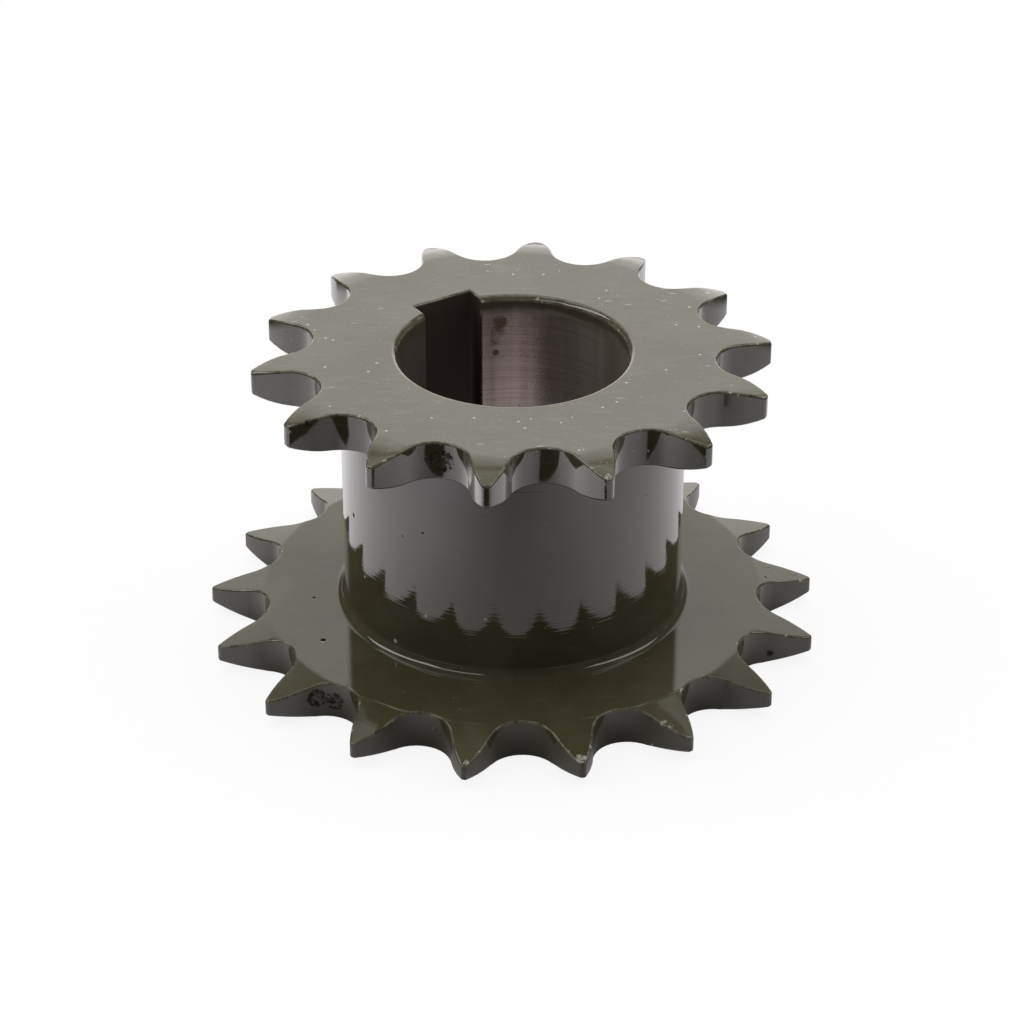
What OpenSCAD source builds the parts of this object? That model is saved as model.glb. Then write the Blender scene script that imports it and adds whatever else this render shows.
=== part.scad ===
// Double roller-chain sprocket: two toothed rings of different size, turned and cut in one piece
// with the plain hub between them, and bored through for a keyed shaft.
// +Z runs along the bore. The origin is on the bore axis, at the large ring's outer face.
// The keyway faces +Y. All sizes are in millimetres.

/* [Chain] */
// Pitch of the roller chain, three quarters of an inch
pitch = 19.05; // [18.5:0.05:22]
// Diameter of the chain's rollers
roller_d = 11.91; // [11:0.01:12.1]
// How much larger the tooth seat's radius is than the roller's
seat_gap = 0.3; // [0.05:0.05:0.5]
// Seating angle of a ring with very many teeth
seat_angle = 135.5; // [130:0.5:140]
// Flank radius, as a share of roller diameter times teeth plus two
flank_share = 0.12; // [0.11:0.005:0.2]

/* [Tooth rings] */
// Width of both toothed rings, face to face
ring_w = 7.3; // [6:0.1:12]

/* [Small ring] */
// Number of teeth on the small ring
small_teeth = 14; // [14:1:24]
// Height of the small ring's tooth tips above its pitch circle
small_tip_h = 4.7; // [3.5:0.05:5.2]
// How far each side of the small ring's teeth falls away at the tips
small_relief = 1.5; // [0.3:0.1:2.4]
// Radius of the curve along which they fall away
small_relief_r = 25; // [19:0.5:36]

/* [Large ring] */
// Number of teeth on the large ring
large_teeth = 17; // [15:1:30]
// Height of the large ring's tooth tips above its pitch circle
large_tip_h = 5.15; // [3.5:0.05:5.4]
// How far the inner side of the large ring's teeth falls away at the tips
large_relief_in = 2.4; // [0.3:0.1:2.6]
// How far the outer side of the large ring's teeth falls away at the tips
large_relief_out = 1.9; // [0.3:0.1:2.6]
// Angle of the bevels along which they fall away, degrees
large_bevel = 13; // [10:0.5:30]
// Turn of the large ring's teeth ahead of the small ring's, degrees
large_turn = 0.7; // [-10:0.1:10]

/* [Hub] */
// Overall height, from outer face to outer face
overall_h = 57.5; // [40:0.5:120]
// Diameter of the hub between the rings
hub_d = 63; // [56:0.5:66]
// Fillet between the hub and each ring
hub_fillet = 2; // [0.5:0.1:2.5]

/* [Bore] */
// Diameter of the bore
bore_d = 42; // [30:0.5:48]
// Chamfer at both ends of the bore
bore_chamfer = 0.8; // [0.2:0.1:2]
// Width of the keyway
key_w = 12; // [8:0.5:14]
// Depth of the keyway, out from the bore's wall
key_depth = 3.3; // [2:0.1:4]

/* [Hidden] */
paint = [0.38, 0.38, 0.33];
round_fn = 180;
over = 1;

function pitch_r(teeth) = pitch / (2 * sin(180 / teeth));
function root_r(teeth) = pitch_r(teeth) - roller_d / 2;
function tip_r(teeth, tip_h) = pitch_r(teeth) + tip_h;

// Half section of the small ring's teeth above z = 0: a flat side, then a curve up to the tips
module curved_side(tip_r) {
  rise = small_relief_r - small_relief;
  start_r = tip_r - sqrt(small_relief_r * small_relief_r - rise * rise);
  square([start_r, ring_w]);
  translate([start_r, small_relief_r]) circle(small_relief_r, $fn = round_fn * 4);
}

// Half section of the large ring's teeth above z = 0: a flat side, then a bevel up to the tips
module bevelled_side(tip_r, relief) {
  polygon([[0, 0], [tip_r - relief / tan(large_bevel), 0], [tip_r, relief], [tip_r, ring_w], [0, ring_w]]);
}

module small_section() {
  tip_r = tip_r(small_teeth, small_tip_h);
  intersection() {
    square([tip_r, ring_w]);
    curved_side(tip_r);
    translate([0, ring_w]) mirror([0, 1]) curved_side(tip_r);
  }
}

module large_section() {
  tip_r = tip_r(large_teeth, large_tip_h);
  intersection() {
    bevelled_side(tip_r, large_relief_out);
    translate([0, ring_w]) mirror([0, 1]) bevelled_side(tip_r, large_relief_in);
  }
}

// Half section of the fillet where the hub meets a ring lying on z = 0
module fillet_section() {
  translate([hub_d / 2, ring_w]) difference() {
    translate([-over, -over]) square(hub_fillet + over);
    translate([hub_fillet, hub_fillet]) circle(hub_fillet, $fn = round_fn);
  }
}

// The turned blank, before its teeth and bore are cut
module blank() {
  rotate_extrude($fn = round_fn) {
    large_section();
    translate([0, overall_h - ring_w]) small_section();
    translate([0, over]) square([hub_d / 2, overall_h - 2 * over]);
    fillet_section();
    translate([0, overall_h]) mirror([0, 1]) fillet_section();
  }
}

// Outline of one tooth gap on +X: the roller's seat, opening out between two rounded flanks
module gap_outline(teeth, tip_h) {
  seat_r = roller_d / 2 + seat_gap;
  seat_x = root_r(teeth) + seat_r;
  half = (seat_angle - 90 / teeth) / 2;
  flank_r = flank_share * roller_d * (teeth + 2);
  meet_x = seat_x - seat_r * cos(half);
  meet_y = seat_r * sin(half);
  flank_x = seat_x - (seat_r + flank_r) * cos(half);
  flank_y = (seat_r + flank_r) * sin(half);
  out_x = tip_r(teeth, tip_h) + over;
  out_y = flank_y - sqrt(flank_r * flank_r - (out_x - flank_x) * (out_x - flank_x));
  translate([seat_x, 0]) circle(seat_r, $fn = round_fn);
  difference() {
    polygon([[seat_x, 0], [meet_x, meet_y], [out_x, out_y], [out_x, -out_y], [meet_x, -meet_y]]);
    for (side = [-1, 1]) translate([flank_x, side * flank_y]) circle(flank_r, $fn = round_fn * 4);
  }
}

// All tooth gaps of one ring, the first one on the keyway's side, cut through from height z0
module tooth_gaps(teeth, tip_h, z0, turn) {
  for (i = [0 : teeth - 1])
    translate([0, 0, z0 - over]) rotate(90 + turn + i * 360 / teeth)
      linear_extrude(ring_w + 2 * over) gap_outline(teeth, tip_h);
}

// Bore with its end chamfers, and the keyway on +Y
module keyed_bore() {
  bore_r = bore_d / 2;
  mouth = bore_chamfer + over;
  translate([0, 0, -over]) cylinder(h = overall_h + 2 * over, r = bore_r, $fn = round_fn);
  translate([0, 0, -over]) cylinder(h = mouth, r1 = bore_r + mouth, r2 = bore_r, $fn = round_fn);
  translate([0, 0, overall_h - bore_chamfer])
    cylinder(h = mouth, r1 = bore_r, r2 = bore_r + mouth, $fn = round_fn);
  translate([-key_w / 2, 0, -over]) cube([key_w, bore_r + key_depth, overall_h + 2 * over]);
}

module sprocket() {
  color(paint) difference() {
    blank();
    tooth_gaps(small_teeth, small_tip_h, overall_h - ring_w, 0);
    tooth_gaps(large_teeth, large_tip_h, 0, large_turn);
    keyed_bore();
  }
}

sprocket();
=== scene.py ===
import math

import bmesh
import bpy
from mathutils import Matrix, Vector


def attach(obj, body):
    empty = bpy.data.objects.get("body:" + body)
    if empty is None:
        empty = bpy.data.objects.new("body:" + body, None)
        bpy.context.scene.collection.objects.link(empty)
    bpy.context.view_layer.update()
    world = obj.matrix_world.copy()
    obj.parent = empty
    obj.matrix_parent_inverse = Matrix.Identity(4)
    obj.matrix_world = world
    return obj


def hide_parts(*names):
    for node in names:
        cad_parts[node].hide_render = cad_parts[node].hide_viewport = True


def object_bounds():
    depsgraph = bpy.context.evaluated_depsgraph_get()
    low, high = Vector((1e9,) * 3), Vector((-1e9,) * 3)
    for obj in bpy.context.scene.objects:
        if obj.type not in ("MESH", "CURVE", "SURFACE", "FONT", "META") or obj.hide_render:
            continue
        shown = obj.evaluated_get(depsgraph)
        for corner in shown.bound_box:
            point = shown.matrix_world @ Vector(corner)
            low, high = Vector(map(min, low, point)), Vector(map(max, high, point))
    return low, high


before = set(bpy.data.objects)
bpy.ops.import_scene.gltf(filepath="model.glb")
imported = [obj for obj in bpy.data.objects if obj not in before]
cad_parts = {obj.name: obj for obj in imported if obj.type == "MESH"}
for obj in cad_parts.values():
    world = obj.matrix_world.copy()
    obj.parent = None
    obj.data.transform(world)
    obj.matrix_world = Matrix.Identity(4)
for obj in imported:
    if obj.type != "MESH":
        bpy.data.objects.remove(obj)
cadBox = [list(corner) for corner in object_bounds()]
partTop = cadBox[1][2]
print("frame loaded")


# One socket of a node tree: sums written on it add their Math nodes
class Wire:
    def __init__(self, board, socket):
        self.board, self.socket = board, socket

    def maths(self, operation, *terms):
        return self.board.node("ShaderNodeMath", {"operation": operation}, dict(enumerate(terms)))

    def __add__(self, other):
        return self.maths("ADD", self, other)

    def __sub__(self, other):
        return self.maths("SUBTRACT", self, other)

    def __rsub__(self, other):
        return self.maths("SUBTRACT", other, self)

    def __mul__(self, other):
        return self.maths("MULTIPLY", self, other)

    def __lt__(self, other):
        return self.maths("LESS_THAN", self, other)

    def __abs__(self):
        return self.maths("ABSOLUTE", self)

    __radd__ = __add__
    __rmul__ = __mul__

    def orMore(self, other):  # the larger of the two
        return self.maths("MAXIMUM", self, other)

    def orLess(self, other):  # the smaller of the two
        return self.maths("MINIMUM", self, other)

    def power(self, exponent):
        return self.maths("POWER", self, exponent)

    def step(self, low, high):  # 0 below low, 1 above high, smooth between
        return self.board.node("ShaderNodeMapRange", {"interpolation_type": "SMOOTHSTEP"},
                               {"Value": self, "From Min": low, "From Max": high})

    def scaled(self, low, high):  # 0..1 spread over low..high
        return self * (high - low) + low


# A node tree that is filled through one method
class Board:
    def __init__(self, tree):
        self.tree = tree
        tree.nodes.clear()

    def node(self, kind, settings=None, values=None, output=0):
        made = self.tree.nodes.new(kind)
        for name, value in (settings or {}).items():
            setattr(made, name, value)
        for name, value in (values or {}).items():
            if isinstance(value, Wire):
                self.tree.links.new(value.socket, made.inputs[name])
            else:
                made.inputs[name].default_value = value
        return Wire(self, made.outputs[output])

    def place(self):
        return self.node("ShaderNodeTexCoord", output="Object")

    def edge(self):  # 1 on the rounded edges
        return self.node("ShaderNodeAttribute", {"attribute_name": "edge"}, output="Fac")

    def rays(self):  # 1 for rays that see the backdrop as it is, and 1 for those that the gloss sends out
        camera, through, glossy = [self.node("ShaderNodeLightPath", output=name)
                                   for name in ("Is Camera Ray", "Is Transmission Ray", "Is Glossy Ray")]
        return camera.orMore(through), glossy

    def axes(self, vector):
        split = self.node("ShaderNodeSeparateXYZ", None, {0: vector}).socket.node
        return [Wire(self, socket) for socket in split.outputs]

    def joined(self, x, y, z):
        return self.node("ShaderNodeCombineXYZ", None, {"X": x, "Y": y, "Z": z})

    def vectorMaths(self, operation, first, second, output="Value"):
        return self.node("ShaderNodeVectorMath", {"operation": operation}, {0: first, 1: second}, output)

    def along(self, vector, direction):  # how far a vector reaches in a direction
        return self.vectorMaths("DOT_PRODUCT", vector, direction)

    def noise(self, vector, scale, detail, roughness=0.5):
        return self.node("ShaderNodeTexNoise", None,
                         {"Vector": vector, "Scale": scale, "Detail": detail, "Roughness": roughness})

    def grain(self, vector, perMetre, detail=2):  # streaks: noise with its own density along each axis
        return self.noise(self.vectorMaths("MULTIPLY", vector, perMetre, "Vector"), 1, detail)

    def dots(self, vector, spacing, radius, share):  # dots, full to 0.4 of their radius, in some cells
        away = self.node("ShaderNodeTexVoronoi", None, {"Vector": vector, "Scale": 1 / spacing}, "Distance")
        cellColour = Wire(self, away.socket.node.outputs["Color"])
        chance = self.node("ShaderNodeSeparateColor", None, {0: cellColour})
        return (1 - away.step(radius * 0.4 / spacing, radius / spacing)) * (chance < share)

    def marks(self, place, spots):  # spots in millimetres, full to 0.6 of their radius
        shown = None
        for centre, radius in spots:
            away = self.vectorMaths("DISTANCE", place, [length / 1000 for length in centre])
            spot = 1 - away.step(radius * 0.6 / 1000, radius / 1000)
            shown = shown.orMore(spot) if shown else spot
        return shown

    def turned(self, vector, angle, stretch):  # coordinates turned about +Z, then drawn out
        return self.node("ShaderNodeMapping", {"vector_type": "TEXTURE"},
                         {"Vector": vector, "Rotation": (0, 0, angle), "Scale": stretch})

    def bumped(self, height):  # height in metres
        return self.node("ShaderNodeBump", None, {"Strength": 1, "Distance": 1, "Height": height})

    def mixed(self, factor, first, second):  # two colours
        return self.node("ShaderNodeMix", {"data_type": "RGBA"},
                         {"Factor": factor, 6: first, 7: second}, output=2)

    def finish(self, kind, shader):
        output = self.tree.nodes.new(kind)
        self.tree.links.new(shader.socket, output.inputs["Surface"])


def colour(red, green, blue):
    return (red, green, blue, 1)


def newMaterial(name):
    material = bpy.data.materials.new(name)
    material.use_nodes = True
    return material, Board(material.node_tree)


def addObject(name, data):
    made = bpy.data.objects.new(name, data)
    bpy.context.scene.collection.objects.link(made)
    return made


def aimed(place, aim):  # stands at place and looks at aim
    place, aim = Vector(place), Vector(aim)
    return Matrix.Translation(place) @ (place - aim).to_track_quat("Z", "Y").to_matrix().to_4x4()


# The part stands turned before the camera. Lamps and mirrored surroundings keep to the camera's
# level axes, right and front, and the camera's own place is on the part's axes, in metres.
studio = {
    "turn": math.radians(-33.08),
    "focal": 121.54,
    "cameraPlace": (-0.30265, -0.46433, 0.34727),
    "cameraAim": (-0.000136, 0.0000883, 0.023385),
    "cameraRoll": math.radians(0.121),
    "cameraReach": (0.01, 50),
    "lampAim": (0, 0, 0.03),
    "floorSize": 8,
    "floorShade": 0.95,
    "floorBounce": 0.14,
    "whiteShare": 0.88,
    "airLight": 0.75,
    "airTint": colour(1, 0.985, 0.955),
    "airDimFrom": (-0.1, 0.6),
    "airDim": 0.85,
}
rightward = (math.cos(studio["turn"]), math.sin(studio["turn"]), 0)
frontward = (math.sin(studio["turn"]), -math.cos(studio["turn"]), 0)
intoPart = Matrix.Rotation(studio["turn"], 4, "Z")
white, black = colour(1, 1, 1), colour(0, 0, 0)


def makeCamera():
    camera = addObject("camera", bpy.data.cameras.new("camera"))
    camera.data.lens = studio["focal"]
    camera.data.clip_start, camera.data.clip_end = studio["cameraReach"]
    roll = Matrix.Rotation(studio["cameraRoll"], 4, "Z")
    camera.matrix_world = aimed(studio["cameraPlace"], studio["cameraAim"]) @ roll
    bpy.context.scene.camera = camera


# Area lamps, placed as the camera sees them: to its right, away and up
softBoxes = {
    "overheadBox": {"place": (0.0, 0.225, 1.10), "size": (1.0, 0.45), "watts": 4.6, "mirrored": False},
    "leftBox": {"place": (-0.80, -0.02, 0.84), "size": (1.0, 0.24), "watts": 2.2, "mirrored": True},
    "nearBox": {"place": (-0.44, -0.42, 0.84), "size": (0.5, 0.16), "watts": 0.45, "mirrored": True},
    "rightBox": {"place": (0.80, -0.02, 0.84), "size": (1.0, 0.24), "watts": 1.5, "mirrored": True},
}


def makeSoftBoxes():
    for name, box in softBoxes.items():
        lamp = bpy.data.lights.new(name, "AREA")
        lamp.shape = "RECTANGLE"
        lamp.size, lamp.size_y = box["size"]
        lamp.energy = box["watts"]
        holder = addObject(name, lamp)
        holder.visible_glossy = box["mirrored"]
        holder.matrix_world = intoPart @ aimed(box["place"], studio["lampAim"])


# The air that the paint mirrors: a bright wall behind the part, a bright patch high above it, and
# dark elsewhere. A pair says over which stretch of a ray's direction, up, away or aside, a change runs.
mirroredAir = {
    "wallAway": (0.55, 0.8),
    "patchUp": (0.72, 0.82),
    "patchAway": (0.15, 0.35),
    "endAside": (0.32, 0.48),
    "dark": 0.04,
    "dimUp": (0.52, 0.72),
    "dimming": 0.35,
    "horizonUp": (0.1, 0.45),
    "horizonGlow": 0.28,
}


def makeWorld():
    world = bpy.data.worlds.new("studioAir")
    bpy.context.scene.world = world
    world.use_nodes = True
    board, look = Board(world.node_tree), mirroredAir
    sky = board.node("ShaderNodeTexCoord", output="Generated")
    up, nearer = board.axes(sky)[2], board.along(sky, frontward)
    aside, away = abs(board.along(sky, rightward)), 0 - nearer
    seen, glossy = board.rays()

    bright = away.step(*look["wallAway"]).orMore(up.step(*look["patchUp"]) * away.step(*look["patchAway"]))
    bright = (bright * (1 - aside.step(*look["endAside"]))).scaled(look["dark"], 1)
    ceiling = 1 - up.step(*look["dimUp"]) * look["dimming"]
    horizon = 1 + look["horizonGlow"] - up.step(*look["horizonUp"]) * look["horizonGlow"]
    light = (1 - glossy) * studio["airLight"] * (1 - nearer.step(*studio["airDimFrom"]) * studio["airDim"])
    shade = glossy * ceiling * horizon * bright + light
    air = board.node("ShaderNodeBackground", None, {
        "Color": board.mixed(seen, studio["airTint"], white), "Strength": seen + (1 - seen) * shade})
    board.finish("ShaderNodeOutputWorld", air)


# The floor that the paint mirrors, a glow with painted light and shade: dimmer in front, brighter under the
# bore, a painted contact shadow close to the teeth, a painted dark patch in front and dark far to the
# sides.
# Lengths are in metres, and a pair says where a change starts and ends.
mirroredFloor = {
    "tint": colour(1, 0.955, 0.985),
    "front": 0.43,
    "left": 1.12,
    "right": 0.82,
    "sides": (0, 0.09),
    "contactShadow": 0.3,
    "contactShadowEnd": (0.046, 0.057),
    "bore": 1.1,
    "boreEnd": (0.019, 0.021),
    "room": 0.01,
    "darkPatchOut": (0.1215, 0.123),
    "darkFront": (0.107, 0.113),
    "darkMiddle": -0.018,
    "darkHalf": (0.047, 0.059),
    "farEnd": (0.150, 0.162),
    "farBeside": (0, 0.02),
}


def floorGlow(board):
    look, place = mirroredFloor, board.place()
    across, nearer = board.along(place, rightward), board.along(place, frontward)
    out = (across * across + nearer * nearer).power(0.5)
    toLeft = (0 - across).step(*look["sides"]) * (look["left"] - look["front"])
    toRight = across.step(*look["sides"]) * (look["right"] - look["front"])
    glow = toLeft + toRight + look["front"]
    # painted contact shadow: the glow darkens close to the teeth
    glow = glow * out.step(*look["contactShadowEnd"]).scaled(look["contactShadow"], 1)
    # painted light: the glow brightens under the bore
    glow = glow + (1 - out.step(*look["boreEnd"])) * (look["bore"] - look["front"])
    # a painted dark patch in front of the part, and dark far to the sides
    beyond = out.step(*look["darkPatchOut"]) * nearer.step(*look["darkFront"])
    beyond = beyond * (1 - abs(across - look["darkMiddle"]).step(*look["darkHalf"]))
    beside = (nearer + abs(across)).step(*look["farBeside"])
    beyond = beyond.orMore(out.step(*look["farEnd"]) * beside)
    return glow + beyond * (look["room"] - glow)


def makeFloor():
    shape = bmesh.new()
    bmesh.ops.create_grid(shape, x_segments=1, y_segments=1, size=studio["floorSize"] / 2)
    mesh = bpy.data.meshes.new("floor")
    shape.to_mesh(mesh)
    shape.free()
    material, board = newMaterial("paleFloor")
    seen, glossy = board.rays()
    shade = seen.scaled(studio["floorBounce"], studio["floorShade"])
    lit = board.node("ShaderNodeBsdfDiffuse", None, {"Color": board.mixed(shade, black, white)})
    glowing = board.node("ShaderNodeEmission", None, {
        "Color": board.mixed(seen, mirroredFloor["tint"], white),
        "Strength": seen + (1 - seen) * floorGlow(board)})
    surface = board.node("ShaderNodeMixShader", None,
                         {0: seen * studio["whiteShare"] + glossy, 1: lit, 2: glowing})
    board.finish("ShaderNodeOutputMaterial", surface)
    mesh.materials.append(material)
    floor = addObject("floor", mesh)


# The sprocket is a copy of the machined solid, with its sharp edges rounded by the paint
sprocket = {
    # the solid's own sizes
    "ringWidth": 0.0073,
    "hubRadius": 0.0315,
    "fillet": 0.002,
    "boreRadius": 0.021,
    "keyHalf": 0.006,
    "keyDepth": 0.0033,
    # the rounding
    "crease": math.radians(35),
    "edge": 0.00042,
    "edgeSteps": 3,
    "flatWithin": math.radians(0.6),
    "weld": 1e-6,
    "filletFit": 2e-5,
    "shoulderFrom": 0.044,
    # the upright share of a face's normal, 1 where the face lies flat
    "flatTilt": 0.9995,
    "bevelTilts": (0.95, 0.99),
    "edgeTilt": 0.97,
    "wallTilt": 0.3,
}


def isShoulder(edge):  # where the large ring's flat side turns into its bevel
    nearAxis = any(math.hypot(*vert.co.xy) < sprocket["shoulderFrom"] for vert in edge.verts)
    above = edge.verts[0].co.z > sprocket["ringWidth"] + sprocket["weld"]
    if len(edge.link_faces) != 2 or nearAxis or above:
        return False
    steeper, flatter = sorted(abs(face.normal.z) for face in edge.link_faces)
    least, most = sprocket["bevelTilts"]
    return flatter > sprocket["flatTilt"] and least < steeper < most


def evenNormal(vert):  # a fillet's own normal on the fillets, elsewhere the larger faces count for more
    out, radius = math.hypot(*vert.co.xy), sprocket["fillet"]
    lowest = sprocket["ringWidth"] + radius
    for height in (lowest, partTop - lowest):
        toMiddle = Vector((sprocket["hubRadius"] + radius - out, height - vert.co.z))
        below = vert.co.z < height
        onSide = below == (height == lowest) and abs(vert.co.z - height) > sprocket["weld"]
        onArc = abs(toMiddle.length - radius) < sprocket["filletFit"]
        if onSide and onArc and 0 <= toMiddle.x < radius + sprocket["weld"]:
            radial = vert.co.xy / out * toMiddle.x
            return Vector((radial.x, radial.y, toMiddle.y)).normalized()
    return sum((face.normal * face.calc_area() for face in vert.link_faces), Vector()).normalized()


def makeSprocket(paint, steel):
    shape = bmesh.new()
    shape.from_mesh(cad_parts["sprocket"].data)
    bmesh.ops.remove_doubles(shape, verts=shape.verts, dist=sprocket["weld"])
    bmesh.ops.dissolve_limit(shape, angle_limit=sprocket["flatWithin"], verts=shape.verts,
                             edges=shape.edges)
    print("merged copy:", len(shape.faces), "faces")
    edgeLayer = shape.faces.layers.float.new("edge")
    creases = [edge for edge in shape.edges
               if edge.calc_face_angle_signed(0) > sprocket["crease"] or isShoulder(edge)]
    rounded = bmesh.ops.bevel(shape, geom=creases, offset=sprocket["edge"], offset_type="OFFSET",
                              affect="EDGES", segments=sprocket["edgeSteps"], profile=0.5,
                              material=-1, clamp_overlap=False)
    for vert in shape.verts:  # corners stay inside the solid's box
        vert.co.z = min(max(vert.co.z, 0), partTop)
    shape.normal_update()
    for face in rounded["faces"]:
        face[edgeLayer] = float(abs(face.normal.z) < sprocket["edgeTilt"])
    keyCorner = Vector((sprocket["keyHalf"], sprocket["boreRadius"] + sprocket["keyDepth"]))
    for face in shape.faces:
        inside = math.hypot(*face.calc_center_median().xy) < keyCorner.length + sprocket["edge"]
        face.material_index = int(inside and abs(face.normal.z) < sprocket["wallTilt"])
        face.smooth = True
    print("rounded", len(creases), "edges:", len(shape.faces), "faces")
    mesh = bpy.data.meshes.new("paintedSprocket")
    normals = [evenNormal(vert) for vert in shape.verts]
    shape.to_mesh(mesh)
    mesh.normals_split_custom_set_from_vertices(normals)
    shape.free()
    for material in (paint, steel):
        mesh.materials.append(material)
    piece = addObject("paintedSprocket", mesh)
    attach(piece, "root")
    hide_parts("sprocket")


# The glossy olive paint. Lengths and heights of relief are in metres, and a pair says where a change
# starts and ends. Marks that have places of their own are in millimetres: the centre, then the radius.
olivePaint = {
    "olive": colour(0.064, 0.058, 0.029),
    "faded": colour(0.086, 0.080, 0.046),
    # pale: nibs, haze and worn spots, on the nibs and scuffs partly painted glints and highlights
    "pale": colour(0.50, 0.49, 0.45),
    "thin": colour(0.13, 0.122, 0.088),
    # reddish tint of a painted warm reflection on the tips to the camera's left
    "warmReflectionTint": colour(0.17, 0.095, 0.070),
    # near-black, for pits and grime, and for a painted dark reflection in a front gap
    "grimeAndDarkReflection": colour(0.016, 0.014, 0.012),
    "roughness": 0.035,
    "coated": (0.0074, 0.010),
    "hubOut": (0.0318, 0.0322),
    "hubFoot": (0.0073, 0.0085),
    "smallRing": (0.045, 0.052),
    "smallTip": 0.04725,
    "largeTip": 0.05670,
    "tipSoft": 0.0002,
    "warmSide": (0.01, 0.035),
    # relief
    "peel": 1.0e-6,
    "peelGrain": (950, 950, 60),
    "turning": 2.2e-5,
    "hubLines": (30, 30, 2300),
    "faceLines": (2300, 45),
    "nib": 2.5e-5,
    "chip": 1.25e-5,
    "pit": 1.2e-4,
    "blister": 4e-5,
    # noises: density per metre, detail, roughness
    "cloud": (70, 4, 0.6),
    "haze": (700, 4, 0.7),
    "ragged": (1300, 4, 0.75),
    "wear": (420, 3, 0.7),
    "warmPatches": (260, 3, 0.7),
    # the stretch of its noise over which each one sets in
    "fadedFrom": (0.35, 0.7),
    "hazeFrom": (0.5, 0.75),
    "grimeAndDarkReflectionFrom": (0.80, 0.98),
    "scuffAndHighlightFrom": (0.74, 0.88),
    "thinFrom": (0.40, 0.52),
    "chipFrom": (0.62, 0.69),
    "warmPatchFrom": (0.35, 0.65),
    # dots: spacing and radius, and the share of them that shows below and on the small ring
    "dustAndGlints": (0.0030, 0.00034),
    "dustAndGlintShare": (0.03, 0.5),
    "dashes": (0.0021, 0.00026),
    "dashShare": (0, 0.6),
    "dashStretch": (4, 1, 1),
    "fineDustAndGlints": (0.0011, 0.00016),
    "fineShare": (0.05, 0.55),
    "hazeShare": (0.02, 0.09),
    "pinholes": (0.0071, 0.00026),
    "pinholeShare": 0.22,
    # marks
    "pits": [((-31.0, 5.3, 29.9), 0.5), ((-39.5, 2.9, 7.3), 0.6), ((-33.5, 16.6, 7.3), 0.35),
             ((8.6, -30.3, 39.0), 0.15), ((-29.9, -9.9, 32.8), 0.18), ((42.2, -22.9, 7.2), 0.4)],
    "blisters": [((48.7, -22.4, 5.8), 1.3), ((45.1, -19.6, 6.6), 0.4)],
    # pale nibs, partly painted glints of the light above
    "nibsAndGlints": [((-28.0, -14.4, 17.6), 0.4), ((-21.0, -23.4, 19.3), 0.35), ((-30.5, -7.8, 9.7), 0.5),
             ((-31.5, 1.1, 19.1), 0.3), ((-39.9, 2.4, 7.3), 0.3), ((43.2, -0.2, 57.1), 0.5)],
    # scuffs, partly painted highlights on tooth edges and tips
    "scuffsAndHighlights": [((-37.0, -41.9, 5.1), 0.8), ((-19.6, -52.0, 5.3), 1.4), ((-1.5, -51.4, 6.2), 0.7),
               ((-1.0, -52.8, 5.9), 0.7), ((-40.0, -21.4, 56.3), 0.8), ((-17.0, -39.5, 57.2), 1.0),
               ((-10.4, -45.8, 56.1), 1.0), ((-10.9, -37.4, 57.5), 0.4), ((-10.1, -37.8, 57.4), 0.4),
               ((6.6, -40.0, 57.4), 0.4), ((7.5, -40.2, 57.3), 0.4)],
    # grime; the spot in a front gap of the small ring is a painted dark reflection
    "grimeAndDarkReflectionSpots": [((-47.9, -9.0, 4.1), 2.6), ((-45.4, -10.7, 3.6), 2.6), ((31.5, -38.8, 2.3), 1.0),
                   ((-29.3, -22.5, 54.0), 3.2), ((-44.0, -3.0, 56.6), 1.6)],
}


def dirtAndPaintedLight(board, place, upper, ragged):  # pale nibs and haze, the nibs partly painted glints; dark pits; and grime, partly a painted dark reflection
    look = olivePaint
    drawn = board.turned(place, studio["turn"], look["dashStretch"])
    # pale specks, more on the small ring's top: raised nibs and dust, partly painted glints of the light
    # above
    dustAndGlints = board.dots(place, *look["dustAndGlints"], upper.scaled(*look["dustAndGlintShare"]))
    dashes = board.dots(drawn, *look["dashes"], upper.scaled(*look["dashShare"])) * 0.55
    fine = board.dots(place, *look["fineDustAndGlints"], upper.scaled(*look["fineShare"])) * 0.5
    nibsAndGlints = dustAndGlints.orMore(dashes).orMore(fine).orMore(board.marks(place, look["nibsAndGlints"]))
    haze = board.noise(drawn, *look["haze"]).step(*look["hazeFrom"]) * upper.scaled(*look["hazeShare"])
    pinholes = board.dots(place, *look["pinholes"], look["pinholeShare"])
    pits = pinholes.orMore(board.marks(place, look["pits"]))
    # dark grime, partly a painted dark reflection in a front gap of the small ring
    grimeAndDarkReflection = (board.marks(place, look["grimeAndDarkReflectionSpots"]) * 0.40 + ragged).step(*look["grimeAndDarkReflectionFrom"]) * 0.9
    return nibsAndGlints, haze, pits, grimeAndDarkReflection


def wearAndPaintedLight(board, place, upper, out, ragged):  # thin and chipped edges, scuffs and painted highlights on edges and tips, and a painted warm reflection on the left tips
    look, edge = olivePaint, board.edge()
    wear = board.noise(place, *look["wear"])
    thin = edge * wear.step(*look["thinFrom"])
    # pale scuffs, partly painted highlights on tooth edges and tips
    scuffedAndHighlit = (board.marks(place, look["scuffsAndHighlights"]) * 0.32 + ragged).step(*look["scuffAndHighlightFrom"]) * 0.7
    wornAndHighlit = (edge * wear.step(*look["chipFrom"])).orMore(scuffedAndHighlit)
    tip = (out - upper.scaled(look["largeTip"], look["smallTip"])).step(0, look["tipSoft"])
    # a painted warm reflection: reddish patches on the tooth tips to the camera's left
    toLeft = (0 - board.along(place, rightward)).step(*look["warmSide"])
    warmLeftTips = tip * toLeft * board.noise(place, *look["warmPatches"]).step(*look["warmPatchFrom"])
    return thin, wornAndHighlit, warmLeftTips


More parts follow.
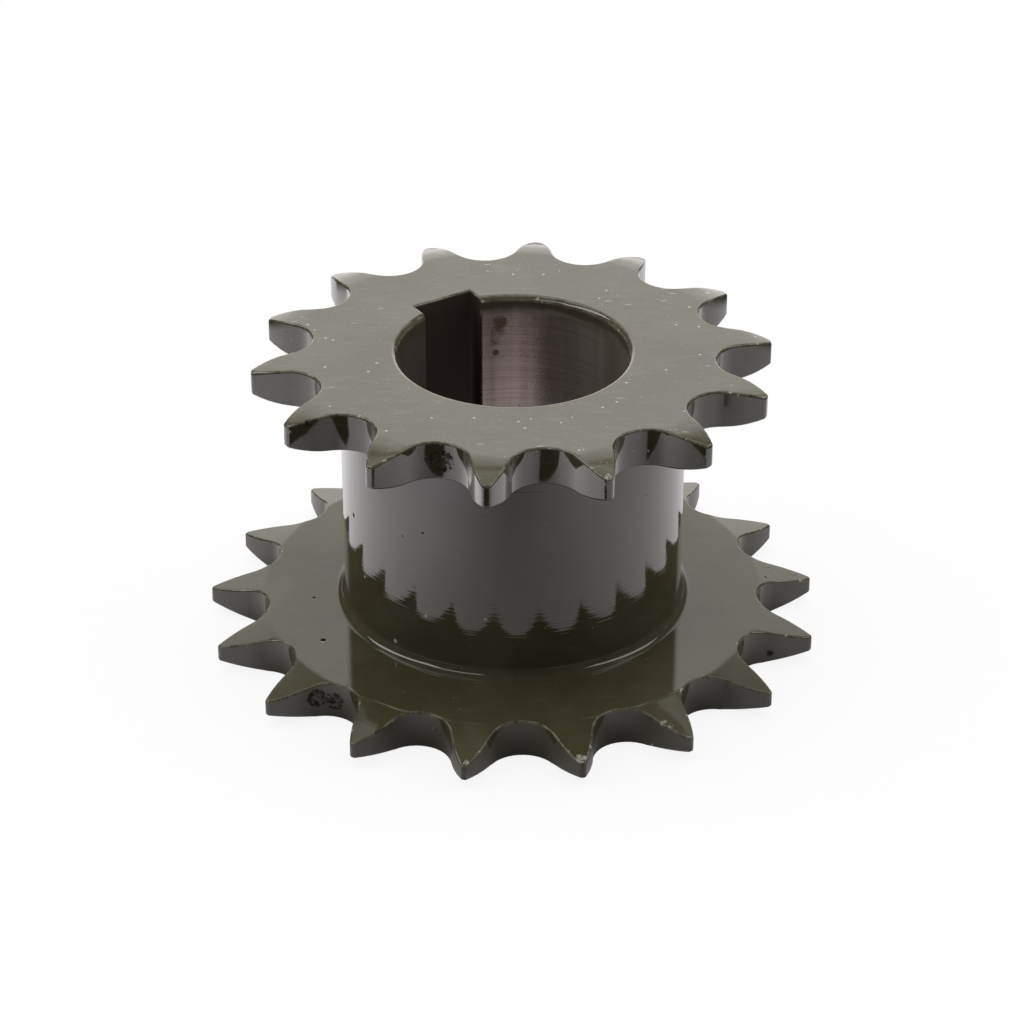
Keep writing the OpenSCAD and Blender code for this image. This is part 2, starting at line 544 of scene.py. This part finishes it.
def paintRelief(board, place, out):  # the wavy skin of sprayed paint, and turning marks showing through
    look = olivePaint
    x, y, height = board.axes(place)
    onHub = (1 - out.step(*look["hubOut"])) * height.step(*look["hubFoot"])
    hubLines = board.grain(place, look["hubLines"], 1) * onHub
    outward, around = look["faceLines"]
    faceLines = board.noise(board.joined(out * outward, x * around, y * around), 1, 2) * (1 - onHub)
    peel = board.grain(place, look["peelGrain"]) * look["peel"]
    return peel + (hubLines + faceLines * 0.25) * look["turning"]


def makePaint():
    material, board = newMaterial("olivePaint")
    look, place = olivePaint, board.place()
    x, y, height = board.axes(place)
    out = (x * x + y * y).power(0.5)
    upper = height.step(*look["smallRing"])
    cloud, ragged = board.noise(place, *look["cloud"]), board.noise(place, *look["ragged"])
    nibsAndGlints, haze, pits, grimeAndDarkReflection = dirtAndPaintedLight(board, place, upper, ragged)
    thin, wornAndHighlit, warmLeftTips = wearAndPaintedLight(board, place, upper, out, ragged)

    skin = board.mixed(cloud.step(*look["fadedFrom"]), look["olive"], look["faded"])
    # painted warm reflection on the left tips
    skin = board.mixed(warmLeftTips * 0.8, skin, look["warmReflectionTint"])
    skin = board.mixed(thin, skin, look["thin"])
    skin = board.mixed(nibsAndGlints.orMore(wornAndHighlit).orMore(haze), skin, look["pale"])
    relief = paintRelief(board, place, out)
    relief = relief + nibsAndGlints * look["nib"] - pits * look["pit"] - wornAndHighlit * look["chip"]
    bumped = board.bumped(relief + board.marks(place, look["blisters"]) * look["blister"])
    marked = nibsAndGlints.orMore(pits).orMore(grimeAndDarkReflection).orMore(wornAndHighlit).orMore(warmLeftTips * 0.6)
    shader = board.node("ShaderNodeBsdfPrincipled", None, {
        "Base Color": skin, "Roughness": marked * 0.3 + cloud * 0.02 + look["roughness"], "IOR": 1.7,
        "Coat Weight": height.step(*look["coated"]) * (1 - marked), "Coat Roughness": 0.03,
        "Coat IOR": 1.3, "Normal": bumped})
    # near-black rough coat for pits, grime and the painted dark reflection
    dirtAndDarkReflection = board.node("ShaderNodeBsdfPrincipled", None, {
        "Base Color": look["grimeAndDarkReflection"], "Roughness": 0.8, "IOR": 1.15, "Normal": bumped})
    surface = board.node("ShaderNodeMixShader", None, {0: pits.orMore(grimeAndDarkReflection), 1: shader, 2: dirtAndDarkReflection})
    board.finish("ShaderNodeOutputMaterial", surface)
    return material


# The bored steel, with paint mist inside both mouths, brown oil in the keyway, and painted shade on the
# wall:
# darker and browner to the camera's left, greyer and olive to the right. Lengths are in metres, stains in
# millimetres: the centre, then the radius.
boredSteel = {
    "steel": colour(0.68, 0.62, 0.605),
    "stained": colour(0.21, 0.155, 0.125),
    "mistAndShade": colour(0.085, 0.072, 0.045),
    "paintedShadeOlive": colour(0.36, 0.31, 0.22),
    "keyway": colour(0.060, 0.045, 0.037),
    "roughness": 0.22,
    "keyHalf": (0.0062, 0.0064),
    "keyOut": (0.0202, 0.0205),
    "mistReach": (0.0019, 0.0044),
    "mistSway": 0.0030,
    # painted shade on the wall, set across the camera's view
    "paintedShadeLeft": (0.010, 0.014),
    "paintedShadeRight": (0.004, 0.015),
    "paintedShadeFarRight": (0.016, 0.020),
    "cloud": (110, 5, 0.65),
    "toolLines": (40, 40, 5200),
    "bands": (420, 420, 8),
    "stainFrom": (0.30, 0.52),
    "blotchFrom": (0.60, 0.72),
    "lineFrom": (0.40, 0.72),
    "bandFrom": (0.45, 0.7),
    "specks": (0.0036, 0.00034),
    "speckShare": 0.6,
    "lineHeight": 4e-7,
    "cloudHeight": 4e-6,
    "speckDepth": 2e-5,
    "stains": [((9.3, 18.8, 52.3), 1.7), ((8.9, 19.0, 50.2), 1.7), ((8.5, 19.2, 48.7), 1.3),
               ((8.6, 19.2, 45.9), 0.8)],
}


def makeSteel():
    material, board = newMaterial("boredSteel")
    look, place = boredSteel, board.place()
    x, y, height = board.axes(place)
    across = board.along(place, rightward)
    lines = board.grain(place, look["toolLines"])
    bands = board.grain(place, look["bands"])
    cloud = board.noise(place, *look["cloud"])
    specks = board.dots(place, *look["specks"], look["speckShare"])
    stain = board.marks(place, look["stains"]) * cloud.step(*look["stainFrom"])
    stain = stain.orMore(cloud.step(*look["blotchFrom"]) * 0.7)
    # painted shade: the wall darkens and browns to the camera's left, and greys to the right
    paintedShadeLeft = (0 - across).step(*look["paintedShadeLeft"])
    paintedShadeRight = across.step(*look["paintedShadeRight"])
    fromMouth = (partTop - height).orLess(height) + (cloud - 0.5) * look["mistSway"]
    # paint mist inside both mouths, and painted shade far to the camera's right
    mistAndShade = (1 - fromMouth.step(*look["mistReach"])).orMore(across.step(*look["paintedShadeFarRight"]) * 0.6)
    keyway = (1 - abs(x).step(*look["keyHalf"])) * y.step(*look["keyOut"]) * (1 - board.edge())

    streaks = lines.step(*look["lineFrom"]) * 0.35 + bands.step(*look["bandFrom"]) * 0.2
    skin = board.mixed(streaks, look["steel"], look["stained"])
    skin = board.mixed(stain.orMore(specks), skin, look["stained"])
    skin = board.mixed(paintedShadeRight * 0.5, skin, look["paintedShadeOlive"])
    skin = board.mixed(paintedShadeLeft * 0.9, skin, look["keyway"])
    skin = board.mixed(mistAndShade, skin, look["mistAndShade"])
    skin = board.mixed(keyway, skin, look["keyway"])
    coveredAndShaded = mistAndShade.orMore(keyway * 0.8).orMore(paintedShadeRight * 0.35).orMore(paintedShadeLeft * 0.85)
    relief = lines * look["lineHeight"] + cloud * look["cloudHeight"] - specks * look["speckDepth"]
    shader = board.node("ShaderNodeBsdfPrincipled", None, {
        "Base Color": skin, "Roughness": cloud * 0.12 + coveredAndShaded * 0.15 + stain * 0.12 + look["roughness"],
        "Metallic": 1 - coveredAndShaded, "IOR": 1.5, "Normal": board.bumped(relief)})
    board.finish("ShaderNodeOutputMaterial", shader)
    return material


makeCamera()
makeWorld()
makeFloor()
makeSoftBoxes()
print("studio ready")
makeSprocket(makePaint(), makeSteel())
print("sprocket ready")

bpy.context.scene.view_settings.view_transform = "Standard"
